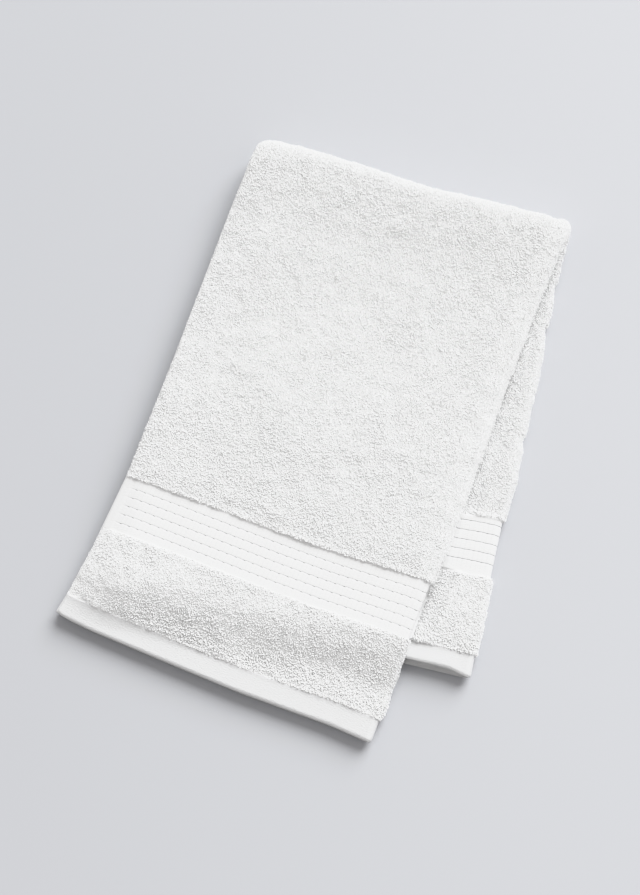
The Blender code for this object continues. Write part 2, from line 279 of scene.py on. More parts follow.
def foldCloth(share, facing, place, face, added=0.0, sink=0.0):
    # share runs from the open edge to the round side fold, facing is -90 degrees on the layer
    # that starts below and 90 on the other, place runs from the lower hem to the upper one,
    # and face is 1 outside and -1 inside
    upper = place > 0.0
    upperShare = smooth((place + bend) / (2.0 * bend))
    fromEnd = fromEndOf(place)
    spacing, rise = zoneValue("spacing", fromEnd), zoneValue("rise", fromEnd)
    weave, pile = zoneValue("weave", fromEnd), zoneValue("pile", fromEnd)
    rise = rise + relief["hemCurl"] * np.clip(1.0 - fromEnd / cloth["hemWidth"], 0.0, 1.0) ** 2
    radius = spacing / 2.0
    topLayer = (1.0 + np.sin(facing)) / 2.0
    leftInset = np.interp(place, upperEdges["along"], upperEdges["left"]) * upperShare
    rightInset = np.interp(place, upperEdges["along"], upperEdges["right"]) * upperShare
    rightInset = rightInset + nipDepth(-place)
    across = leftInset + share * (halfWidth - rightInset - radius - leftInset)
    across = across + radius * np.cos(facing)
    level = radius * np.sin(facing)

    # rows slant beside the cross fold, bow beside the side fold and follow the hem's outline
    skew = 1.0 - smooth((np.abs(place) - fold["skewFull"]) / (fold["skewEnd"] - fold["skewFull"]))
    leftShare = np.clip(1.0 - across / halfWidth, 0.0, 1.0)
    along = place + skew * leftShare * halfWidth * math.tan(fold["lean"])
    runOut = np.interp(across, hemEdge["place"], hemEdge["out"])
    along = along + np.where(upper, runOut, 0.0) * (1.0 - smooth(fromEnd / fold["hemEdgeReach"]))
    bowed = np.clip(fromEnd / fold["bowFullFrom"], 0.0, 1.0)
    bowed = bowed * (1.0 - smooth((fromEnd - fold["bowFadeStart"]) / fold["bowFadeLength"]))
    shift = np.interp(across, weftBow["place"], weftBow["shift"]) * bowed
    along = along + np.where(upper, shift, -shift * fold["bowLowerShare"])
    parting = smooth((halfWidth - across) / fold["hemPartingRamp"])
    parting = parting * (1.0 - smooth(fromEnd / cloth["hemWidth"]))
    parting = np.where(upper, 0.0, parting) * topLayer
    along = along + fold["hemSetback"] * parting

    # thickness on this face; the pile stands tall where nothing presses on it
    planX, turned, angle = planOf(across, along)
    onTop = smooth(angle / cloth["freeByAngle"]) * (1.0 - topLayer)
    upperAcross = halfFrames(planX, -np.abs(turned))[3]
    uncovered = smooth((upperAcross - fold["uncoveredFrom"]) / fold["uncoveredRamp"]) * topLayer
    uncovered = uncovered * smooth(-turned / fold["uncoveredReach"])
    free = np.maximum(onTop, uncovered)
    side = np.cos(facing) ** 2
    height = cloth["pilePressed"] + (cloth["pileFree"] - cloth["pilePressed"]) * free
    height = height + (cloth["pileSide"] - height) * side
    openness = np.maximum(free, side)
    shown = smooth((upperAcross - fold["shownFrom"]) / fold["shownRamp"]) * topLayer
    shown = np.maximum(np.maximum(onTop, side), shown)
    valley = (1.0 - smooth((upperAcross - fold["valleyFrom"]) / fold["valleyReach"])) * topLayer
    valley = np.where(upper, 0.0, valley * smooth(-turned / fold["uncoveredReach"]))
    valley = valley * smooth(fromEnd / cloth["hemWidth"] - 1.0)
    level = level - fold["valleyDepth"] * valley
    added = added - fold["valleyPile"] * valley * pile * (face > 0)
    height = np.where(face > 0, height - sink * openness, cloth["pilePressed"])
    edgeGap = share * halfWidth
    sideHem = 1.0 - smooth((edgeGap - cloth["sideHemWidth"]) / cloth["sideHemRamp"] + 0.5)
    weave = weave + np.maximum(cloth["sideHemWeave"] - weave, 0.0) * sideHem * (1.0 - pile)
    half = weave + pile * height + added * np.maximum(openness, valley)
    rounding = smooth(edgeGap / cloth["rimRounding"]) * smooth(fromEnd / cloth["rimRounding"])
    half = half * (cloth["rimShare"] + (1.0 - cloth["rimShare"]) * rounding)
    across = across + half * face * np.cos(facing)
    level = level + half * face * np.sin(facing) + fold["hemParting"] * parting

    # bend round the cross fold, and lay the upper half on what is below it
    planX, turned, angle = planOf(across, along)
    middle = rise + radius
    run = np.maximum(np.abs(turned) - bend, 0.0)
    planY = midRadius * np.sin(angle) - run - foldReach - level * np.sin(angle)
    bulge = np.interp(-planX, foldEdge["place"], foldEdge["bulge"])
    planY = planY + bulge * (1.0 - smooth((-planY - foldReach) / fold["foldEdgeReach"]))
    crest = fold["crestHeight"] * (1.0 - smooth(run / fold["crestLength"]))
    swell = swellHeight(planX, planY) * smooth(run / fold["swellRamp"])
    upperMiddle = supportHeight(planX, planY) + middle + crest + swell
    lift = (1.0 - np.cos(angle)) / 2.0
    planZ = middle + (upperMiddle - middle) * lift + level * np.cos(angle)
    return np.stack((planX, planY, planZ), axis=-1), shown


def towelCentre():
    # the middle of the folded towel's outline, which is the part's origin
    facing = np.radians(np.linspace(-90.0, 90.0, 13))
    share = np.concatenate((np.linspace(0.0, 1.0, 120), np.ones(13), np.linspace(1.0, 0.0, 120)))
    facing = np.concatenate((np.full(120, facing[0]), facing, np.full(120, facing[-1])))
    place = np.linspace(-cloth["lowerLength"], cloth["upperLength"], 700)
    points, _ = foldCloth(share[None, :], facing[None, :], place[:, None], 1.0)
    points = points.reshape(-1, 3)
    centre = (points.min(axis=0) + points.max(axis=0)) / 2.0
    return np.array((centre[0], centre[1], 0.0))


centre = towelCentre()


def onOuterFace(share, facing, place):
    added = outerRelief(share, facing, place)
    points, shown = foldCloth(share, facing, place, 1.0, added, cloth["groundBelowTips"])
    return points - centre, shown


def addObject(name, data):
    item = bpy.data.objects.new(name, data)
    bpy.context.scene.collection.objects.link(item)
    return item


# Node helpers

def feed(socket, value):
    # value is a node, another socket or a plain value
    if isinstance(value, bpy.types.Node):
        value = value.outputs[0]
    if isinstance(value, bpy.types.NodeSocket):
        socket.id_data.links.new(value, socket)
    else:
        socket.default_value = value


def addNode(tree, kind, given=None, **settings):
    node = tree.nodes.new(kind)
    for name, value in settings.items():
        setattr(node, name, value)
    for name, value in (given or {}).items():
        feed(node.inputs[name], value)
    return node


def calculate(operation, *values):
    tree = next(value.id_data for value in values if isinstance(value, bpy.types.NodeSocket))
    return addNode(tree, "ShaderNodeMath", dict(enumerate(values)), operation=operation).outputs[0]


def plus(first, second):
    return calculate("ADD", first, second)


def minus(first, second):
    return calculate("SUBTRACT", first, second)


def times(first, second):
    return calculate("MULTIPLY", first, second)


def over(first, second):
    return calculate("DIVIDE", first, second)


def openSockets(tree, direction, kind, *names):
    for name in names:
        tree.interface.new_socket(name, in_out=direction, socket_type=kind)


def newGroup(name, inputs, outputs):
    # every socket is a float, apart from the Vector that comes first
    group = bpy.data.node_groups.new(name, "ShaderNodeTree")
    openSockets(group, "INPUT", "NodeSocketVector", "Vector")
    openSockets(group, "INPUT", "NodeSocketFloat", *inputs)
    openSockets(group, "OUTPUT", "NodeSocketFloat", *outputs)
    return group, addNode(group, "NodeGroupInput").outputs, addNode(group, "NodeGroupOutput").inputs


# Shader groups

def buildFuzzGroup():
    # matted cotton fibres: short worms of two sizes
    group, given, results = newGroup("cottonFuzz", ("Scale",), ("Height", "Tone"))
    fine = addNode(group, "ShaderNodeTexNoise", {
        "Vector": given["Vector"], "Scale": given["Scale"],
        "Detail": 3.0, "Roughness": 0.65, "Distortion": 1.2})
    broad = addNode(group, "ShaderNodeTexNoise", {
        "Vector": given["Vector"], "Scale": times(given["Scale"], 0.28),
        "Detail": 2.0, "Roughness": 0.5, "Distortion": 0.6})
    worms = times(calculate("ABSOLUTE", minus(fine.outputs["Fac"], 0.5)), 3.0)
    feed(results["Height"], plus(worms, times(broad.outputs["Fac"], 1.2)))
    feed(results["Tone"], broad.outputs["Fac"])
    return group


def buildWeaveGroup():
    # flat weave: fine weft ribs crossed by warp, with the yarns' unevenness
    group, given, results = newGroup("flatWeave", ("Weft Pitch", "Warp Pitch"), ("Height", "Tone"))
    split = addNode(group, "ShaderNodeSeparateXYZ", {0: given["Vector"]})
    warp, weft = (calculate("SINE", times(over(split.outputs[axis], given[pitch]), 2.0 * math.pi))
                  for axis, pitch in (("X", "Warp Pitch"), ("Y", "Weft Pitch")))
    stretch = addNode(group, "ShaderNodeMapping", {
        "Vector": given["Vector"], "Scale": (420.0, 1500.0, 1.0),
        "Rotation": (0.0, 0.0, math.radians(24.0))})
    uneven = addNode(group, "ShaderNodeTexNoise", {
        "Vector": stretch, "Scale": 1.0, "Detail": 3.0, "Roughness": 0.6}).outputs["Fac"]
    feed(results["Height"], plus(times(times(warp, weft), 0.25), uneven))
    feed(results["Tone"], uneven)
    return group


def addStep(value, low, high):
    return addNode(value.id_data, "ShaderNodeMapRange", {
        "Value": value, "From Min": low, "From Max": high},
        interpolation_type="SMOOTHSTEP").outputs["Result"]


# Masks along which painted shade darkens the ribbed border's grooves and the upright lines in its panes;
# the line mask also deepens the border's bump.
ribReliefAndShade = {
    "line": (0.3, 1.5),  # its soft edge, in line widths
    "pointStart": (0.62, 0.80), # the point at a stitch's end where the line and its painted shade are strongest, in shares of the stitch
    "pointEnd": (0.93, 1.0),
    "paneMiddle": 0.62,  # the thin upright lines of painted shade in the panes between the grooves, in shares of half a stitch
    "paneEdge": (0.04, 0.16),
    "stripSide": 0.004,  # the marks fade in over this much of the border at either side
    "bodySide": 0.003,
}


def buildLinesGroup():
    # masks of the ribbed border's fine lines, strongest at a point at the end of each stitch, and of
    # thin upright lines in its panes; the cloth's material paints shade along them
    group, given, results = newGroup("ribbedBorder", (
        "Cloth End", "First Groove", "Groove Pitch", "Line Width", "Dash Pitch", "Dash Slant", "Faint"),
        ("Line", "Pane"))
    split = addNode(group, "ShaderNodeSeparateXYZ", {0: given["Vector"]})
    across, along = split.outputs["X"], split.outputs["Y"]
    fromEnd = calculate("ABSOLUTE", minus(along, given["Cloth End"]))
    phase = calculate("FRACT", over(across, given["Dash Pitch"]))
    tilt = times(minus(phase, 0.5), given["Dash Slant"])
    past = plus(minus(fromEnd, given["First Groove"]), tilt)
    nearest = calculate("ROUND", over(past, given["Groove Pitch"]))
    nearest = calculate("MINIMUM", calculate("MAXIMUM", nearest, 0.0), relief["grooveCount"] - 1.0)
    gap = minus(past, times(nearest, given["Groove Pitch"]))
    gap = over(calculate("ABSOLUTE", gap), given["Line Width"])
    thin = minus(1.0, addStep(gap, *ribReliefAndShade["line"]))
    point = times(addStep(phase, *ribReliefAndShade["pointStart"]),
                  minus(1.0, addStep(phase, *ribReliefAndShade["pointEnd"])))
    strength = plus(times(point, minus(1.0, given["Faint"])), given["Faint"])
    column = calculate("FRACT", over(across, times(given["Dash Pitch"], 0.5)))
    column = calculate("ABSOLUTE", minus(column, ribReliefAndShade["paneMiddle"]))
    pane = minus(1.0, addStep(column, *ribReliefAndShade["paneEdge"]))
    edge = addStep(across, 0.5 * relief["plainEdge"], 1.5 * relief["plainEdge"])
    low, high = zones["start"][2:]
    inside = times(addStep(fromEnd, low, low + ribReliefAndShade["stripSide"]),
                   minus(1.0, addStep(fromEnd, high - ribReliefAndShade["bodySide"], high)))
    inside = times(inside, edge)
    feed(results["Line"], times(times(thin, strength), inside))
    feed(results["Pane"], times(pane, inside))
    return group


def placeGroup(group, vector, **values):
    given = {name.replace("_", " "): value for name, value in values.items()}
    return addNode(vector.id_data, "ShaderNodeGroup", {"Vector": vector, **given}, node_tree=group)


def newMaterial(name, roughness=0.95):
    material = bpy.data.materials.new(name)
    material.use_nodes = True
    shader = material.node_tree.nodes["Principled BSDF"]
    shader.inputs["Roughness"].default_value = roughness
    shader.inputs["Specular IOR Level"].default_value = 0.25
    return material, material.node_tree, shader


def mixColour(factor, low, high):
    low, high = ((*tone, 1.0) if isinstance(tone, tuple) else tone for tone in (low, high))
    return addNode(factor.id_data, "ShaderNodeMix", {"Factor": factor, 6: low, 7: high},
                   data_type="RGBA").outputs[2]


# the cloth's and the yarn's colours and bumps, and the painted shade of the ribbed border
surfaceAndShade = {
    "whiteHigh": (0.992, 0.992, 0.990),  # the pile's yarn
    "whiteLow": (0.970, 0.971, 0.973),
    "groundHigh": (0.895, 0.895, 0.895),  # the cloth under the pile
    "groundLow": (0.840, 0.841, 0.843),
    "plainHigh": (0.925, 0.925, 0.923),  # the flat weave
    "plainLow": (0.810, 0.811, 0.813),
    # painted shade in the ribbed border's grooves and along its upright ribs
    "grooveShadeTone": (0.460, 0.462, 0.466),
    "lineShadeShare": 0.6,  # of the painted shade's tone in the lines and in the panes
    "paneShadeShare": 0.10,
    "hemTone": -0.60,  # the hem lies nearer to the lower tone
    "fuzzScale": 750.0,
    "yarnFuzzScale": 1800.0,
    "weftPitch": 0.00085,
    "warpPitch": 0.0007,
    "fuzzBump": 0.00012,
    "yarnBump": 0.00003,
    "weaveBump": 0.00026,
    "lineDepth": 1.5,  # in heights of the weave
    "hemGrain": 0.9,  # the hem's weave shows this much more
    "hemRamp": 0.001,
    "lineWidth": 0.00036,
    "upperFaint": 0.45,  # the lines' strength between their points
    "lowerFaint": 0.8,
    "lowerSlant": 0.0002,
}


def clothMaterial(fuzz, weave, lines):
    material, tree, shader = newMaterial("whiteCloth")
    uv = addNode(tree, "ShaderNodeUVMap", uv_map="flatCloth").outputs["UV"]
    place = addNode(tree, "ShaderNodeTexCoord").outputs["Object"]
    pile = addNode(tree, "ShaderNodeAttribute", attribute_name="pile").outputs["Fac"]
    clothLength = cloth["upperLength"] + cloth["lowerLength"]
    shared = {"Line_Width": surfaceAndShade["lineWidth"], "Dash_Pitch": relief["dashPitch"]}
    upper = placeGroup(lines, uv, Cloth_End=clothLength, First_Groove=relief["upperGroove"],
                       Groove_Pitch=relief["upperPitch"], Dash_Slant=relief["dashSlant"],
                       Faint=surfaceAndShade["upperFaint"], **shared)
    lower = placeGroup(lines, uv, Cloth_End=0.0, First_Groove=relief["lowerGroove"],
                       Groove_Pitch=relief["lowerPitch"], Dash_Slant=surfaceAndShade["lowerSlant"],
                       Faint=surfaceAndShade["lowerFaint"], **shared)
    line, pane = (calculate("MAXIMUM", upper.outputs[name], lower.outputs[name])
                  for name in ("Line", "Pane"))
    split = addNode(tree, "ShaderNodeSeparateXYZ", {0: uv})
    fromMiddle = calculate("ABSOLUTE", minus(split.outputs["Y"], clothLength / 2.0))
    hemStart = clothLength / 2.0 - cloth["hemWidth"]
    onHem = addStep(fromMiddle, hemStart, hemStart + surfaceAndShade["hemRamp"])
    fuzzNode = placeGroup(fuzz, place, Scale=surfaceAndShade["fuzzScale"])
    weaveNode = placeGroup(weave, uv, Weft_Pitch=surfaceAndShade["weftPitch"], Warp_Pitch=surfaceAndShade["warpPitch"])
    ground = mixColour(fuzzNode.outputs["Tone"], surfaceAndShade["groundLow"], surfaceAndShade["groundHigh"])
    plainTone = plus(weaveNode.outputs["Tone"], times(onHem, surfaceAndShade["hemTone"]))
    plain = mixColour(plainTone, surfaceAndShade["plainLow"], surfaceAndShade["plainHigh"])
    # painted shade: the border's grooves and upright ribs are darkened in the colour
    paintedGrooveShade = plus(times(line, surfaceAndShade["lineShadeShare"]), times(pane, surfaceAndShade["paneShadeShare"]))
    plain = mixColour(paintedGrooveShade, plain, surfaceAndShade["grooveShadeTone"])
    feed(shader.inputs["Base Color"], mixColour(pile, plain, ground))
    fuzzHeight = times(fuzzNode.outputs["Height"], pile)
    flatShare = times(minus(1.0, pile), plus(times(onHem, surfaceAndShade["hemGrain"]), 1.0))
    weaveHeight = minus(weaveNode.outputs["Height"], times(line, surfaceAndShade["lineDepth"]))
    fuzzy = addBump(fuzzHeight, surfaceAndShade["fuzzBump"])
    feed(shader.inputs["Normal"], addBump(times(weaveHeight, flatShare), surfaceAndShade["weaveBump"], fuzzy))
    return material


def addBump(height, distance, normal=None):
    given = {"Strength": 1.0, "Distance": distance, "Height": height}
    if normal is not None:
        given["Normal"] = normal
    return addNode(height.id_data, "ShaderNodeBump", given).outputs[0]


def yarnMaterial(fuzz):
    material, tree, shader = newMaterial("whiteYarn")
    place = addNode(tree, "ShaderNodeTexCoord").outputs["Object"]
    tone = addNode(tree, "ShaderNodeAttribute", attribute_name="tone").outputs["Fac"]
    fuzzNode = placeGroup(fuzz, place, Scale=surfaceAndShade["yarnFuzzScale"])
    feed(shader.inputs["Base Color"], mixColour(tone, surfaceAndShade["whiteLow"], surfaceAndShade["whiteHigh"]))
    feed(shader.inputs["Normal"], addBump(fuzzNode.outputs["Height"], surfaceAndShade["yarnBump"]))
    return material


fuzzGroup = buildFuzzGroup()
weaveGroup = buildWeaveGroup()
linesGroup = buildLinesGroup()
whiteCloth = clothMaterial(fuzzGroup, weaveGroup, linesGroup)
whiteYarn = yarnMaterial(fuzzGroup)


# The cloth itself: a fine outer face, a coarser inner one and the rims between them

sheetGrid = {
    "rim": (0.0, 0.0004, 0.0009, 0.0016, 0.0026),  # from the open edge
    "panelStep": 0.0022,  # outer face; halved in the ribbed border
    "hiddenStep": 0.0100,  # on the layer that only shows beside the side fold
    "shownShare": 0.70,  # of that layer, from here on it shows
    "turnSteps": 14,
    "bodyStep": 0.0026,
    "edgeStep": 0.0005,  # beside each change of pile
    "edgeReach": 0.0015,
    "borderStep": 0.00066,
    "stripStep": 0.0020,
    "hemStep": 0.0013,
    "lowerStep": 0.0045,
    "lowerBorderStep": 0.00085,
    "arcSteps": 20,
    "innerStep": 0.0090,  # inner face
}


def spread(start, end, step):
    # even stations after start, up to and with end
    count = max(1, round(abs(end - start) / step))
    return [start + (end - start) * (index + 1) / count for index in range(count)]


def thinned(values, step):
    # level 0 for stations at least a step apart, and for the first and the last
    levels = [1] * len(values)
    levels[0] = levels[-1] = 0
    last = values[0]
    for index, value in enumerate(values[:-1]):
        if abs(value - last) >= step and abs(values[-1] - value) > step / 2.0:
            levels[index] = 0
            last = value
    return levels


def panelColumns(shares, halvedFrom, facing):
    # every second column after halvedFrom is for the border only
    levels = thinned(shares, sheetGrid["innerStep"] / halfWidth)
    levels[halvedFrom::2] = [2 * level for level in levels[halvedFrom::2]]
    return [(share, facing, level) for share, level in zip(shares, levels)]


def sheetColumns():
    # share, facing and level of detail: 0 on both faces, 1 on the outer one, 2 in the border only
    rim = [distance / halfWidth for distance in sheetGrid["rim"]]
    fineStep = sheetGrid["panelStep"] / 2.0 / halfWidth
    shares = rim + spread(rim[-1], 1.0, fineStep)[:-1]
    below = panelColumns(shares, len(rim), -math.pi / 2.0)
    turns = sheetGrid["turnSteps"]
    turn = [(1.0, math.pi * (k / turns - 0.5), int(k % 3 > 0 and k < turns)) for k in range(turns + 1)]
    shown = sheetGrid["shownShare"]
    hidden = rim + spread(rim[-1], shown, sheetGrid["hiddenStep"] / halfWidth)
    shares = hidden + spread(shown, 1.0, fineStep)[:-1]
    return below + turn + panelColumns(shares, len(hidden), math.pi / 2.0)[::-1]


def sheetRows():
    # place along the cloth, level of detail, and whether the band after it is ribbed
    hem, border, body = zones["start"][1:]
    low, high = -cloth["lowerLength"], cloth["upperLength"]
    rim = list(sheetGrid["rim"])
    reach, arcStep = sheetGrid["edgeReach"], 2.0 * bend / sheetGrid["arcSteps"]
    stops = []
    for end, step, ribbed in ((hem, "hemStep", False), (border, "stripStep", False),
                              (body, "lowerBorderStep", True)):
        stops.append((low + end - reach, sheetGrid[step], ribbed))
        stops.append((low + end + reach, sheetGrid["edgeStep"], False))
    stops += [(-bend, sheetGrid["lowerStep"], False), (bend, arcStep, False)]
    for start, step, ribbed in ((body, "bodyStep", False), (border, "borderStep", True),
                                (hem, "stripStep", False)):
        stops.append((high - start - reach, sheetGrid[step], ribbed))
        stops.append((high - start + reach, sheetGrid["edgeStep"], False))
    stops.append((high - rim[-1], sheetGrid["hemStep"], False))
    bands = [(low + distance, False) for distance in rim]
    for end, step, ribbed in stops:
        bands[-1] = (bands[-1][0], ribbed)
        bands += [(place, ribbed) for place in spread(bands[-1][0], end, step)]
    bands[-1] = (bands[-1][0], False)
    bands += [(high - distance, False) for distance in rim[-2::-1]]
    places = [place for place, _ in bands]
    levels = thinned(places, sheetGrid["innerStep"])
    return [(place, level, ribbed) for (place, ribbed), level in zip(bands, levels)]


def buildSheet():
    columns, rows = sheetColumns(), sheetRows()
    share, facing, columnLevel = (np.array(values) for values in zip(*columns))
    place, rowLevel, ribbed = (np.array(values) for values in zip(*rows))
    fine = ribbed | np.concatenate(([False], ribbed[:-1]))
    grid = np.broadcast_arrays(share[None, :], facing[None, :], place[:, None])
    outer, inner = onOuterFace(*grid)[0], foldCloth(*grid, -1.0)[0] - centre
    across, along = flatPlace(*grid)
    pile = zoneValue("pile", fromEndOf(grid[2]))
    used = columnLevel[None, :] <= np.where(fine, 2, 1)[:, None]
    usedInside = (columnLevel[None, :] == 0) & (rowLevel[:, None] == 0)
    outerIndex = np.where(used, np.cumsum(used).reshape(used.shape) - 1, -1)
    innerIndex = np.where(usedInside, np.cumsum(usedInside).reshape(used.shape) - 1 + used.sum(), -1)
    vertices = np.concatenate((outer[used], inner[usedInside]))
    flat = np.concatenate([np.stack((across[mask], along[mask]), axis=1) for mask in (used, usedInside)])

    faces = []
    lastRow, lastColumn = len(rows) - 1, len(columns) - 1
    for row in range(lastRow):      # outer face
        cuts = np.flatnonzero(columnLevel <= (2 if ribbed[row] else 1))
        for left, right in zip(cuts[:-1], cuts[1:]):
            near = [i for i in outerIndex[row, left:right + 1] if i >= 0]
            far = [i for i in outerIndex[row + 1, left:right + 1] if i >= 0]
            faces.append(near + far[::-1])
    innerRows, innerColumns = np.flatnonzero(rowLevel == 0), np.flatnonzero(columnLevel == 0)
    for low, high in zip(innerRows[:-1], innerRows[1:]):    # inner face
        for left, right in zip(innerColumns[:-1], innerColumns[1:]):
            faces.append([innerIndex[low, left], innerIndex[high, left],
                          innerIndex[high, right], innerIndex[low, right]])
    for column, flip in ((0, 1), (lastColumn, -1)):         # rims along the open edges
        for low, high in zip(innerRows[:-1], innerRows[1:]):
            run = [i for i in outerIndex[low:high + 1, column] if i >= 0]
            faces.append((run + [innerIndex[high, column], innerIndex[low, column]])[::flip])
    for row, flip in ((0, -1), (lastRow, 1)):               # rims at the hems
        for left, right in zip(innerColumns[:-1], innerColumns[1:]):
            run = [i for i in outerIndex[row, left:right + 1] if i >= 0]
            faces.append((run + [innerIndex[row, right], innerIndex[row, left]])[::flip])

    mesh = bpy.data.meshes.new("towelCloth")
    mesh.from_pydata(vertices.tolist(), [], [[int(i) for i in face] for face in faces])
    loopVertex = np.zeros(len(mesh.loops), dtype=np.int32)
    mesh.loops.foreach_get("vertex_index", loopVertex)
    uv = mesh.uv_layers.new(name="flatCloth")
    uv.data.foreach_set("uv", flat[loopVertex].astype(np.float32).ravel())
    layer = mesh.attributes.new("pile", "FLOAT", "POINT")
    layer.data.foreach_set("value", np.concatenate((pile[used], pile[usedInside])).astype(np.float32))
    mesh.flip_normals()     # outwards
    mesh.shade_smooth()
    mesh.materials.append(whiteCloth)
    print("cloth", len(mesh.vertices), "points", triangleCount(mesh), "triangles")
    return addObject("towelCloth", mesh)


def triangleCount(mesh):
    return sum(len(polygon.vertices) - 2 for polygon in mesh.polygons)


towelCloth = buildSheet()


# Terry pile: yarn loops that stand on the cloth

pileLoops = {
    "pitch": 0.00095,
    "loopWidth": 0.0016,
    "loopHeight": 0.0011,
    "yarnRadius": 0.00042,
    "rootDepth": 0.0004,
    "lean": math.radians(45.0),
    "wobble": 0.0004,
    "scatter": 0.42,  # of the pitch
    "leastPile": 0.06,
    "leastShown": 0.3,  # hidden pile has no loops
    "clearance": 0.0017,  # nor has the pile this near the surface that the towel lies on
    "probe": 0.0006,  # the step by which the way a loop stands is found
    "probeTurn": 0.05,
    "crestEnd": 0.082,  # where one mesh of loops ends and the next begins
    "middleEnd": 0.184,
    "lowerFrom": 0.72,  # share of the lower half's upper layer that has loops
}
pileInputs = {
    "Loop Width": "loopWidth", "Loop Height": "loopHeight", "Yarn Radius": "yarnRadius",
    "Root Depth": "rootDepth", "Lean": "lean", "Wobble": "wobble",
}


def buildPileTree():
    tree = bpy.data.node_groups.new("terryPile", "GeometryNodeTree")
    openSockets(tree, "INPUT", "NodeSocketGeometry", "Geometry")
    openSockets(tree, "INPUT", "NodeSocketFloat", *pileInputs)
    openSockets(tree, "INPUT", "NodeSocketInt", "Seed")
    openSockets(tree, "INPUT", "NodeSocketMaterial", "Material")
    openSockets(tree, "OUTPUT", "NodeSocketGeometry", "Geometry")
    given, end = addNode(tree, "NodeGroupInput").outputs, addNode(tree, "NodeGroupOutput")

    # one loop: an arch of yarn across X, standing along Z, its ends drawn to points in the cloth
    halfSpan = times(given["Loop Width"], 0.5)
    root = times(given["Root Depth"], -1.0)
    left = addNode(tree, "ShaderNodeCombineXYZ", {"X": times(halfSpan, -1.0), "Z": root})
    middle = addNode(tree, "ShaderNodeCombineXYZ", {"Z": times(given["Loop Height"], 2.0)})
    right = addNode(tree, "ShaderNodeCombineXYZ", {"X": halfSpan, "Z": root})
    arch = addNode(tree, "GeometryNodeCurveQuadraticBezier", {
        "Resolution": 2, "Start": left, "Middle": middle, "End": right})
    bentTwice = addNode(tree, "GeometryNodeResampleCurve", {"Curve": arch, "Count": 3}, mode="COUNT")
    inside = minus(1.0, addNode(tree, "GeometryNodeCurveEndpointSelection").outputs[0])
    section = addNode(tree, "GeometryNodeCurvePrimitiveCircle", {
        "Resolution": 3, "Radius": given["Yarn Radius"]}, mode="RADIUS")
    yarn = addNode(tree, "GeometryNodeCurveToMesh", {
        "Curve": bentTwice, "Profile Curve": section, "Scale": inside, "Fill Caps": False})
    closed = addNode(tree, "GeometryNodeMergeByDistance", {"Geometry": yarn, "Distance": 1e-6})
    faceted = addNode(tree, "GeometryNodeSetShadeSmooth", {"Geometry": closed, "Shade Smooth": False})

    def readAttribute(name, kind):
        node = addNode(tree, "GeometryNodeInputNamedAttribute", {"Name": name}, data_type=kind)
        return node.outputs["Attribute"]

    def randomValue(low, high, offset):
        # inputs 2 and 3 and output 1 are the ones for floats
        wanted = {2: low, 3: high, "Seed": plus(given["Seed"], offset)}
        return addNode(tree, "FunctionNodeRandomValue", wanted, data_type="FLOAT").outputs[1]

    # combed loops all lie one way, the others stand any way round
    comb = readAttribute("comb", "FLOAT")
    loose = minus(1.0, comb)
    turn = times(randomValue(-math.pi, math.pi, 1.0), loose)
    side = minus(times(randomValue(-1.0, 1.0, 2.0), loose), comb)
    euler = addNode(tree, "ShaderNodeCombineXYZ", {"X": times(side, given["Lean"]), "Z": turn})
    own = addNode(tree, "FunctionNodeEulerToRotation", {0: euler})
    stand = addNode(tree, "FunctionNodeAxesToRotation", {
        0: readAttribute("stand", "FLOAT_VECTOR"), 1: readAttribute("lie", "FLOAT_VECTOR")},
        primary_axis="Z", secondary_axis="Y")
    turned = addNode(tree, "FunctionNodeRotateRotation", {0: stand, 1: own}, rotation_space="LOCAL")
    size = times(readAttribute("size", "FLOAT"), randomValue(0.75, 1.25, 3.0))
    placed = addNode(tree, "GeometryNodeInstanceOnPoints", {
        "Points": given["Geometry"], "Instance": faceted, "Rotation": turned, "Scale": size})
    toned = addNode(tree, "GeometryNodeStoreNamedAttribute", {
        "Geometry": placed, "Name": "tone", "Value": randomValue(0.0, 1.0, 4.0)}, domain="INSTANCE")
    real = addNode(tree, "GeometryNodeRealizeInstances", {0: toned})

    # a little unevenness, so that no two loops are alike
    noise = addNode(tree, "ShaderNodeTexNoise", {"Scale": 420.0, "Detail": 1.0})
    offset = addNode(tree, "ShaderNodeVectorMath", {0: noise.outputs["Color"], 1: (0.5, 0.5, 0.5)},
                     operation="SUBTRACT")
    scaled = addNode(tree, "ShaderNodeVectorMath", {0: offset, "Scale": times(given["Wobble"], 2.0)},
                     operation="SCALE")
    moved = addNode(tree, "GeometryNodeSetPosition", {"Geometry": real, "Offset": scaled})
    dressed = addNode(tree, "GeometryNodeSetMaterial", {
        "Geometry": moved, "Material": given["Material"]})
    feed(end.inputs["Geometry"], dressed)
    return tree


pileTree = buildPileTree()


def loopPoints(share, facing, place, seed):
    # scattered places for loops, with the way each one stands and lies
    random = np.random.default_rng(seed)
    share, facing, place = (np.array(values, dtype=float) for values in np.broadcast_arrays(
        share[None, :], facing[None, :], place[:, None]))
    rowStep = np.abs(np.gradient(place, axis=0)) * pileLoops["scatter"]
    place = place + rowStep * random.uniform(-1.0, 1.0, place.shape)
    shareStep = np.abs(np.gradient(share, axis=1)) * pileLoops["scatter"]
    share = np.clip(share + shareStep * random.uniform(-1.0, 1.0, share.shape), 0.0, 1.0)
    turnStep = np.abs(np.gradient(facing, axis=1)) * pileLoops["scatter"] * (share >= 1.0)
    facing = facing + turnStep * random.uniform(-1.0, 1.0, facing.shape)
    facing = np.clip(facing, -math.pi / 2.0, math.pi / 2.0)
    return share.ravel(), facing.ravel(), place.ravel()


